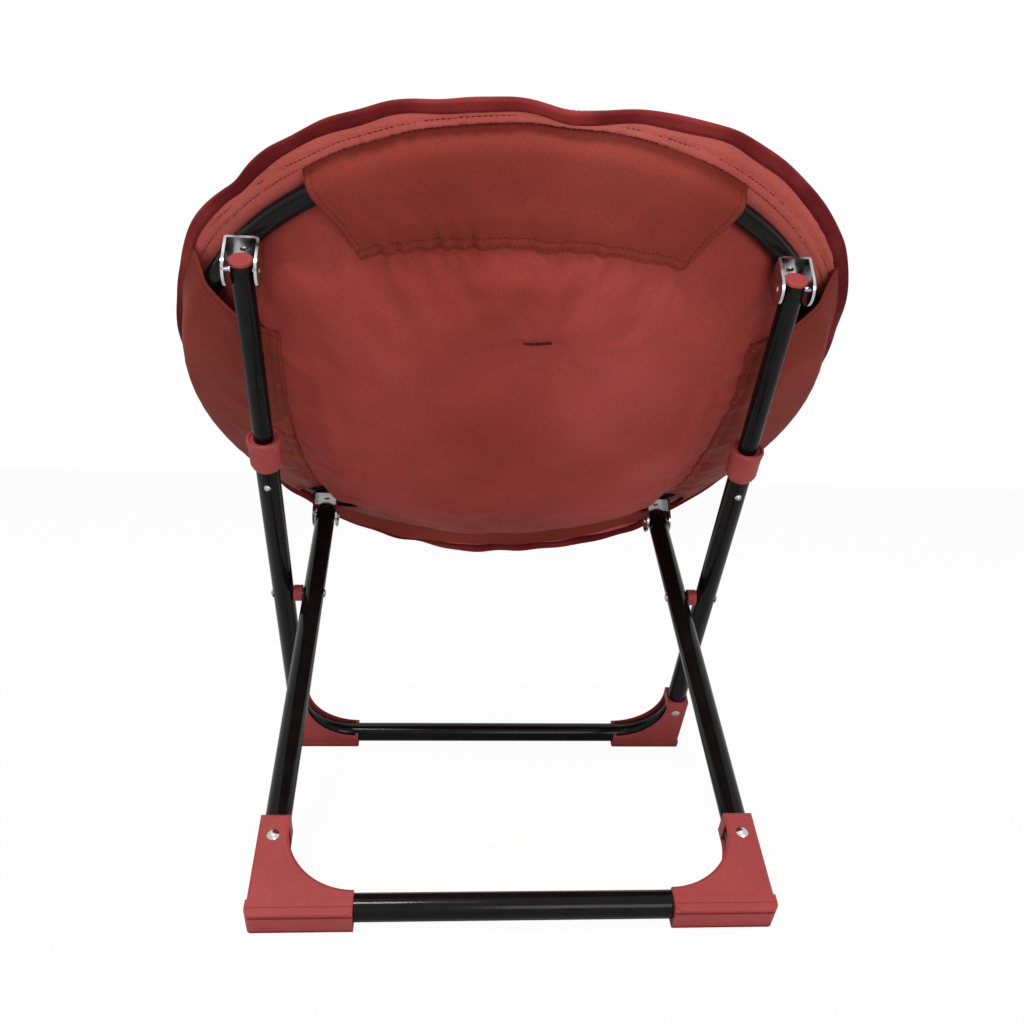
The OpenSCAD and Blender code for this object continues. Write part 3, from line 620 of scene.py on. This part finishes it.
def hold_lines(u, v, lines, near):
    """1 on the seams, 0 further than near from them."""
    held = np.zeros_like(u)
    for line in lines:
        held = np.maximum(held, (off_line(u, v, line)[0] < near).astype(float))
    return held


SIM_FRAMES = 22
BLUR = 10                   # how far moves are spread to find their broad part, in grid steps
BROAD = 0.85                # the share of that part that is taken out


def settle(name, p, faces, held, extra, push, cap):
    """The pad's form
    stays: the move's broad part is taken out, and the rest ends at cap."""
    mesh = bpy.data.meshes.new(name)
    mesh.from_pydata([tuple(q) for q in p / MM], [], faces)
    obj = bpy.data.objects.new(name, mesh)
    scene.collection.objects.link(obj)
    group = obj.vertex_groups.new(name="held")
    for i in np.flatnonzero(held > 0):
        group.add([int(i)], float(held[i]), "REPLACE")
    mod = obj.modifiers.new("cloth", "CLOTH")
    c = mod.settings
    c.quality, c.mass, c.air_damping = 6, 0.2, 2.0
    c.tension_stiffness = c.compression_stiffness = 25
    c.shear_stiffness, c.bending_stiffness = 8, 0.6
    c.vertex_group_mass = "held"
    c.shrink_min = -extra
    c.use_pressure, c.uniform_pressure_force = True, push
    c.effector_weights.gravity = 0
    mod.collision_settings.use_collision = False
    mod.point_cache.frame_start, mod.point_cache.frame_end = 1, SIM_FRAMES
    for f in range(1, SIM_FRAMES + 1):
        scene.frame_set(f)
    done = obj.evaluated_get(bpy.context.evaluated_depsgraph_get())
    got = np.empty(len(p) * 3)
    done.data.vertices.foreach_get("co", got)
    move = got.reshape(-1, 3) * MM - p
    scene.frame_set(1)
    bpy.data.objects.remove(obj)
    bpy.data.meshes.remove(mesh)
    k = hump(np.arange(N)[:, None] - np.arange(N), BLUR)
    k /= k.sum(1, keepdims=True)
    broad = np.einsum("ia,jb,abk->ijk", k, k, move.reshape(N, N, 3), optimize=True)
    move = move - BROAD * broad.reshape(-1, 3)
    size = np.linalg.norm(move, axis=-1, keepdims=True)
    return move * np.tanh(size / cap) * cap / np.maximum(size, 1e-6)


def under_grid():
    """The underside's points, row by row."""
    u, v = du * BOWL, dv * BOWL
    r = np.hypot(u, v)
    p = np.stack([u, v, under(r) + soft_under(u, v)], -1)
    held = np.maximum(hold_lines(u, v, [*POCKET_SEAMS, *SLEEVE_SEAMS.values()], near=2.6), r > BOWL - 3)
    held = np.maximum(held, hold_lines(u, v, [BAR_LINE], near=4.3))
    move = settle("underside_sim", p, grid_quads(True), held, extra=0.028, push=1.2, cap=3.2)
    p = p + move * ease((BOWL - r) / 18)[:, None]
    p[:, 2] += fine_pull(u, v)
    return p


lower = under_grid()


def at_grid(u, v):
    """Place on the finished underside over [u, v]."""
    r, f = np.hypot(u, v) / BOWL, np.arctan2(v, u)
    g = np.mod(f + np.pi / 4, 2 * np.pi)
    k = np.floor(g / (np.pi / 2)).astype(int)
    t = (g - k * np.pi / 2) * 4 / np.pi - 1
    k = k % 4
    x = np.choose(k, [r, -t * r, -r, t * r])
    y = np.choose(k, [t * r, r, -t * r, -r])
    gx, gy = (x + 1) / 2 * (N - 1), (y + 1) / 2 * (N - 1)
    i, j = np.clip(gx.astype(int), 0, N - 2), np.clip(gy.astype(int), 0, N - 2)
    a, b = (gx - i)[:, None], (gy - j)[:, None]
    p = lower.reshape(N, N, 3)
    return (p[i, j] * (1 - a) * (1 - b) + p[i + 1, j] * a * (1 - b)
            + p[i, j + 1] * (1 - a) * b + p[i + 1, j + 1] * a * b)


def top_grid():
    """The sitter's side, which keeps clear of the underside."""
    u, v = du * CROWN, dv * CROWN
    r = np.hypot(u, v)
    p = np.stack([u, v, top(r) + soft_top(u, v)], -1)
    held = np.maximum(hold_lines(u, v, [BAR_LINE], near=4.0), r > CROWN - 4)
    move = settle("upper_sim", p, grid_quads(False), held, extra=0.012, push=1.0, cap=1.6)
    p = p + move * ease((CROWN - r) / 18)[:, None]
    least = at_grid(p[:, 0], p[:, 1])[:, 2] + LEAST
    gap = p[:, 2] - least
    p[:, 2] = least + (gap + np.sqrt(gap * gap + 4.0)) / 2
    return p


upper = top_grid()


# ---------------------------------------------------------------- padded shell
def rim_rows(a):
    """Rows round the hoop from the bowl's edge below to the crown's edge above, as [distance, height]."""
    reach, lift = rim_reach(a) - EDGE, rim_lift(a)
    o = np.zeros_like(a)
    start, end, _, long, down, turn = flange(a)
    below = []
    for k in range(WRAP_ROWS):
        t = np.pi + (turn - np.pi) * k / WRAP_ROWS
        below.append(np.stack([RING + WRAP * np.cos(t), WRAP * np.sin(t)], -1))
    puff = 1.5 + 1.1 * waves(a, 24, 31) + 0.7 * waves(a, 11, 32)
    room = ease((long - 14) / 8)
    for k in range(FLANGE_ROWS):
        s = k / (FLANGE_ROWS - 1)
        p = start + (end - start) * s
        back = long * (1 - s)
        r = p[:, 0]
        inward = np.clip((back - 7) / np.maximum(end[:, 0] - 8 - TWIN[1], 3), 0, 1)
        swell = 0.8 * np.sin(np.pi * inward) * puff * room
        ridge = 1.1 * hump(r - (TWIN[0] + TWIN[1]) / 2, 1.9) * (1 + 0.5 * waves(a, 12, 37))
        groove = -1.2 * (hump(r - TWIN[0], 1.4) + hump(r - TWIN[1], 1.4)) * room + ridge * room
        small = 0.4 * waves(a, 9, 33) * hump(r - 276, 9)
        hold = ease((1 - s) * 6) * ease(s * 4)
        below.append(p + down * ((swell + groove + small) * hold * ease((back - 7) / 4))[:, None])
    tip = [np.stack([reach + 0.9, lift - HALF / 2], -1), np.stack([reach + 1.2, lift], -1),
           np.stack([reach + 0.9, lift + HALF / 2], -1)]
    edge_up = np.stack([reach, lift + HALF], -1)
    crest = np.stack([RING + o, WRAP + THICK + 0.8 * waves(a, 55, 34)], -1)
    shoulder = np.stack([RING - WRAP + o, WRAP + 0.7 * THICK + 0.8 * waves(a, 48, 35)], -1)
    inner = np.stack([CROWN + o, top(CROWN) + o], -1)
    rows = curve_rows([edge_up, top_run(edge_up, crest), crest, shoulder, inner], TOP_STEPS)
    over_top = []
    for k, p in enumerate(rows):
        r = p[:, 0]
        groove = 1.4 * hump(r - TWIN[0], 2.0) + 1.4 * hump(r - TWIN[1], 2.0)
        pucker = 0.6 * waves(a, 16, 36) * hump(r - 276, 12)
        over_top.append(p - np.stack([o, (groove + pucker) * ease((len(rows) - 1 - k) / 4)], -1))
    return below, tip, over_top


def shell():
    """The pad as one closed mesh; the cloth outside the hoop is thin and has its own lighter material,
    painted light for the light that shines through it.
    """
    below, tip, over_top = rim_rows(rim_a)
    rings = below[1:] + tip + over_top[:-1]
    points = np.concatenate([lower, *(at_angle(p, rim_a) for p in rings), upper])
    first, m = N * N, len(edge)
    last = first + len(rings) * m
    loops = [list(edge)] + [[first + k * m + i for i in range(m)] for k in range(len(rings))]
    loops.append([last + e for e in edge])
    faces = grid_quads(True)
    start = len(faces)
    for lo, hi in zip(loops[:-1], loops[1:]):
        faces += [(lo[i], lo[(i + 1) % m], hi[(i + 1) % m], hi[i]) for i in range(m)]
    faces += [tuple(last + i for i in q) for q in grid_quads(False)]
    flat = points[:, :2] / MM
    made = make("seat_shell", to_frame(points), faces, cloth, [flat[i] for f in faces for i in f])
    made.data.materials.append(painted_backlight_cloth)
    # Flange faces get the lighter cloth: painted light shining through the thin cloth
    thin = np.zeros(len(faces), np.int32)
    thin[start + WRAP_ROWS * m:start + (len(below) - 1) * m] = 1
    made.data.polygons.foreach_set("material_index", thin)
    return made


seat = shell()


# ---------------------------------------------------------------- binding tape
def tape_width(a):
    """How far the tape covers the underside."""
    right_side = hump(np.degrees(a) % 360 - 298, 30)
    return np.minimum(6.4 + 0.8 * waves(a, 70, 41) + 3.0 * right_side, flange(a)[3] - FREE)


def binding_points(a):
    """The tape's outer face: under the cloth's edge, round it and back over its top."""
    reach, lift = rim_reach(a) - EDGE, rim_lift(a)
    wide_under = tape_width(a)
    _, end, unit, _, down, _ = flange(a)
    pucker = 0.5 * waves(a, 10, 43)
    rows = []
    for s in (1.0, 0.72, 0.45, 0.2, 0.0):
        out = 0.5 + 0 * a if s in (0.0, 1.0) else 0.6 + (0.8 + pucker) * math.sin(math.pi * s) ** 0.8
        rows.append(end - unit * (wide_under * s)[:, None] + down * out[:, None])
    for t in map(math.radians, (-60, -30, 0, 30, 60)):
        rows.append(np.stack([reach + 1.6 * math.cos(t) + 0.3, lift + (HALF + 0.6) * math.sin(t)], -1))
    edge_up = np.stack([reach, lift + HALF], -1)
    run = top_run(edge_up, np.array([RING, WRAP + THICK])) - edge_up
    long = np.linalg.norm(run, axis=-1)
    unit = run / long[:, None]
    up = np.stack([unit[:, 1], -unit[:, 0]], -1)
    wide_top = np.minimum(9.0 + 1.0 * waves(a, 80, 42), long)
    for s in (0.0, 0.3, 0.65, 1.0):
        rows.append(edge_up + unit * (wide_top * s)[:, None] + up * (0.8 + 1.1 * math.sin(math.pi * s)))
    return at_angle(np.stack(rows, 1), a[:, None])


bind = binding_points(np.linspace(0, 2 * np.pi, TAPE_COLS, endpoint=False))
binding, binding_area = cloth_sheet("seat_binding", bind, TAPE_THICK, tape, round_cols=True)


# ---------------------------------------------------------------- cloth panels that hold the hoop
def panel_rows(a, r_seam, back, slack):
    """From the seam on the bowl under the hoop's tube and out to the flange, back from its end."""
    off = WRAP + 0.9
    _, end, unit, long, down, _ = flange(np.float64(a))
    p0 = np.array([r_seam, under(r_seam) - 1.0])
    p1 = end - unit * min(back, long - FREE) + down * 0.8
    c = np.array([RING, 0.0])

    def touch(p, sign):
        """Angle on the tube where the line from p meets it."""
        d = p - c
        return math.atan2(d[1], d[0]) + sign * math.acos(min(1, off / np.linalg.norm(d)))
    t0, t1 = touch(p0, 1) % (2 * np.pi), touch(p1, -1) % (2 * np.pi)
    t1 += 2 * np.pi if t1 < np.pi else 0
    t1 = max(t1, t0 + 0.02)
    arc = [c + off * np.array([math.cos(t), math.sin(t)]) for t in np.linspace(t0, t1, 7)]
    path = np.array([p0 + (arc[0] - p0) * s for s in np.linspace(0, 1, 9)[:-1]] + arc
                    + [arc[-1] + (p1 - arc[-1]) * s for s in np.linspace(0, 1, 6)[1:]])
    length = along_line(path)
    q = np.linspace(0, length[-1], PANEL_ROWS)
    out = np.stack([np.interp(q, length, path[:, 0]), np.interp(q, length, path[:, 1])], -1)
    for _ in range(2):
        out[1:-1] = (out[:-2] + 2 * out[1:-1] + out[2:]) / 4
    out[:, 1] -= slack * np.sin(np.pi * np.clip(q / length[-1] * 1.5, 0, 1)) ** 2
    return out


def panel(name, angles, seams, backs, seed, slack=0.0, shift=None, groove=0.8):
    """A panel over angles [columns]; seams and backs give its ends; shift bends its end edges. Returns
    the piece, its area, its inner face's points and their outward normals."""
    share = np.linspace(0, 1, PANEL_ROWS)
    p = []
    for k, a in enumerate(angles):
        turn = a + (shift(k / (len(angles) - 1), share) if shift else 0)
        p.append(at_angle(panel_rows(a, seams[k], backs[k], slack), turn))
    p = np.array(p)
    middle = (len(p) // 2, PANEL_ROWS // 2, 2)
    foot = at_grid(p[:, 0, 0], p[:, 0, 1])[:, 2] - p[:, 0, 2]
    p[..., 2] += (foot + 0.3)[:, None] * (1 - ease(share / 0.3))
    n = normals_of(p)
    n = n * np.sign(-n[middle])
    c, s = np.meshgrid(np.arange(len(p)), share, indexing="ij")
    long = c * mean_step(p, 0)
    free = np.sin(np.pi * np.clip(s / 0.62, 0, 1)) ** 1.2
    wave = uneven(long, s * 60, [(0.8, 46, seed), (0.45, 20, seed + 1)]) * free
    by_ends = np.exp(-s / 0.12) + np.exp(-(1 - s) / 0.1)
    gather = 0.5 * ripple(long, 13, seed + 2) * by_ends * ease(s * 20) * ease((1 - s) * 20)
    j = np.arange(PANEL_ROWS)
    seam = groove * (0.8 * hump(j - 2.5, 0.9) - hump(j - SEAM_ROW, 0.8))
    p = p + n * (wave + gather * (0.3 + groove) + 0.5 * ease(s * 14) + seam)[..., None]
    return *cloth_sheet(name, p, PANEL_THICK, panel_cloth, flip=bool(normals_of(p)[middle] > 0)), p, n


def rear_shift(c, s):
    """The rear pocket widens from its seam to the rim."""
    return (2 * c - 1) * np.radians(1.8 * ease((s - 0.15) / 0.7))


def sleeve_shift(hand):
    """The curved openings of a sleeve at its back and front ends."""
    def shift(c, s):
        back = 0.3 + 1.6 * np.sin(np.pi * np.clip(s / 0.8, 0, 1)) - 2.0 * ease((s - 0.7) / 0.3)
        front = 3.5 * np.sin(np.pi * np.clip(s, 0, 1))
        return hand * (np.exp(-c / 0.12) * np.radians(back) - np.exp(-(1 - c) / 0.12) * np.radians(front))
    return shift


wide = np.linspace(-1, 1, PANEL_COLS)
rear_a, front_a = np.radians(31.9) * wide, np.pi + np.radians(38) * wide
rear_pocket, rear_area, rear_p, rear_n = panel(
    "seat_rear_pocket", rear_a, 204.3 + 9 * wide ** 2, back_from(rear_a, 270.8), 51,
    shift=rear_shift, slack=-1.5)
front_pocket, front_area, front_p, front_n = panel(
    "seat_front_pocket", front_a, np.full(PANEL_COLS, 208.0), back_from(front_a, 279.0), 61)
sleeves = {}
for hand, label in ((1, "left"), (-1, "right")):
    sa = np.radians(np.linspace(60, 135.5, PANEL_COLS)) * hand
    seam_u = np.interp(np.cos(sa) * 190, *zip(*sorted((v, abs(u)) for u, v in SLEEVE_SEAMS[hand])))
    sleeves[label] = panel(f"seat_{label}_sleeve", sa, seam_u / np.abs(np.sin(sa)), tape_width(sa) - 2.5,
                           71 + hand, shift=sleeve_shift(hand), slack=0.3, groove=0.3)


# ---------------------------------------------------------------- stitching
def on_under(line, lift):
    """A line of [points, normals] that lies lift off the underside."""
    pts = np.array(line, float)
    long = along_line(pts)
    q = np.arange(0, long[-1], 1.5)
    u, v = np.interp(q, long, pts[:, 0]), np.interp(q, long, pts[:, 1])
    n = -np.cross(at_grid(u + 2, v) - at_grid(u - 2, v), at_grid(u, v + 2) - at_grid(u, v - 2))
    n /= np.linalg.norm(n, axis=-1, keepdims=True)
    return at_grid(u, v) + n * lift, n


panels = [(rear_p, rear_n), (front_p, front_n), *(made[2:] for made in sleeves.values())]
lines = [(p[:, k] + n[:, k] * PANEL_THICK, n[:, k]) for k in (1, SEAM_ROW) for p, n in panels]
lines += [(p[c, 2:-1] + n[c, 2:-1] * PANEL_THICK, n[c, 2:-1]) for p, n in panels for c in (2, -3)]
fine_a = np.linspace(0, 2 * np.pi, 1200)
_, end, unit, long, down, _ = flange(fine_a)
for r in TWIN:
    back = back_from(fine_a, r)
    pts = at_angle(end - unit * back[:, None] - down * 0.7, fine_a)
    out = at_angle(down, fine_a)
    free = (back > 7.5) & (back < long - FREE)
    for part in np.split(np.arange(len(fine_a)), np.flatnonzero(np.diff(free.astype(int))) + 1):
        if free[part[0]] and len(part) > 12:
            lines.append((pts[part], out[part]))
bind_n = normals_of(np.concatenate([bind[-1:], bind, bind[:1]]))[1:-1]
for k, way in ((1, -1), (12, 1)):
    out = bind_n[:, k] * np.sign(bind_n[:, k, 2] * way)[:, None]
    lines.append((np.concatenate([bind[:, k], bind[:1, k]]), np.concatenate([out, out[:1]])))
stitch = stitches("seat_stitching", lines, thread)

tack_lines = [on_under([(TACK[0] + way * (BAR + 0.5), TACK[1] + dy) for way in (-1, 1)], lift=0.45)
              for dy in (-0.5, 0.5)]
tack = stitches("seat_bar_tack", tack_lines, thread, long=2.2, gap=0.1, wide=0.52, sink=0.1)

# ---------------------------------------------------------------- how the pieces move
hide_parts("seat_pad")
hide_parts("rim_binding")
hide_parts("rear_pocket")
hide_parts("front_pocket")
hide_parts("left_side_sleeve")
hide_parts("right_side_sleeve")
high, low = tuple(to_frame([0, 0, 9.0])), tuple(to_frame([0, 0, -9.9]))
for piece, slot, anchor, keep in (
        (seat, "seat_cloth", high, 0.36), (binding, "binding_tape", high, 0.36),
        (stitch, "seat_cloth", high, 0.36), (tack, "seat_cloth", high, 0.36),
        (rear_pocket, "seat_cloth", low, 0.3), (front_pocket, "seat_cloth", low, 0.3),
        (sleeves["left"][0], "seat_cloth", low, 0.16), (sleeves["right"][0], "seat_cloth", low, 0.16)):
    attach(piece, "seat")
    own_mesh(piece)

# ---------------------------------------------------------------- floor, world and lamps
FLOOR_HALF, FLOOR_DROP = 6, 0.0004
FLOOR_SHARE = 0.965         # how much of the white the camera sees on the floor, and not its shadow
WORLD_LIGHT = 0.36


def link(tree, *pairs):
    """Links [node, output, node, input]."""
    for a, out, b, to in pairs:
        tree.links.new(a.outputs[out], b.inputs[to])


floor_mesh = bpy.data.meshes.new("floor")
corners = [(x * FLOOR_HALF, y * FLOOR_HALF, 0) for x, y in ((-1, -1), (1, -1), (1, 1), (-1, 1))]
floor_mesh.from_pydata(corners, [], [(0, 1, 2, 3)])
floor = bpy.data.objects.new("floor", floor_mesh)
floor.location.z = -FLOOR_DROP
scene.collection.objects.link(floor)
floor_finish = bpy.data.materials.new("floor")
floor_finish.use_nodes = True
tree = floor_finish.node_tree
tree.nodes.clear()
out, mix = node(tree, "ShaderNodeOutputMaterial"), node(tree, "ShaderNodeMixShader")
diffuse = node(tree, "ShaderNodeBsdfDiffuse", Color=(0.86, 0.86, 0.86, 1))
glow, path = node(tree, "ShaderNodeEmission", Strength=1.0), node(tree, "ShaderNodeLightPath")
share = node(tree, "ShaderNodeMath", operation="MULTIPLY")
share.inputs[1].default_value = FLOOR_SHARE
link(tree, (path, "Is Camera Ray", share, 0), (share, "Value", mix, "Fac"), (diffuse, "BSDF", mix, 1),
     (glow, "Emission", mix, 2), (mix, "Shader", out, "Surface"))
floor_mesh.materials.append(floor_finish)

world = bpy.data.worlds.new("world")
scene.world = world
world.use_nodes = True
tree = world.node_tree
tree.nodes.clear()
out, mix = node(tree, "ShaderNodeOutputWorld"), node(tree, "ShaderNodeMixShader")
light = node(tree, "ShaderNodeBackground", Strength=WORLD_LIGHT, Color=(1, 1, 1, 1))
white = node(tree, "ShaderNodeBackground", Strength=1.0, Color=(1, 1, 1, 1))
ray = node(tree, "ShaderNodeLightPath")
either = node(tree, "ShaderNodeMath", operation="ADD")
seen = node(tree, "ShaderNodeMath", operation="ADD", use_clamp=True)
link(tree, (ray, "Is Camera Ray", either, 0), (ray, "Is Glossy Ray", either, 1), (either, "Value", seen, 0),
     (ray, "Is Transmission Ray", seen, 1), (seen, "Value", mix, "Fac"), (light, "Background", mix, 1),
     (white, "Background", mix, 2), (mix, "Shader", out, "Surface"))


def lamp(name, place, aim, size, power):
    light = bpy.data.lights.new(name, "AREA")
    light.shape, light.size, light.size_y, light.energy = "RECTANGLE", size[0], size[1], power
    obj = bpy.data.objects.new(name, light)
    scene.collection.objects.link(obj)
    obj.location = place
    obj.rotation_mode = "QUATERNION"
    obj.rotation_quaternion = (Vector(aim) - Vector(place)).to_track_quat("-Z", "Y")


lamp("key", (0.35, 1.25, 1.9), (0, 0.1, 0.25), (0.5, 0.35), 27)
lamp("front", (-0.5, 2.1, 0.5), (0, 0, 0.35), (0.8, 0.8), 11)
lamp("top", (0.1, -0.3, 2.0), (0, 0, 0.4), (1.2, 1.2), 8)

scene.view_settings.view_transform = "Standard"
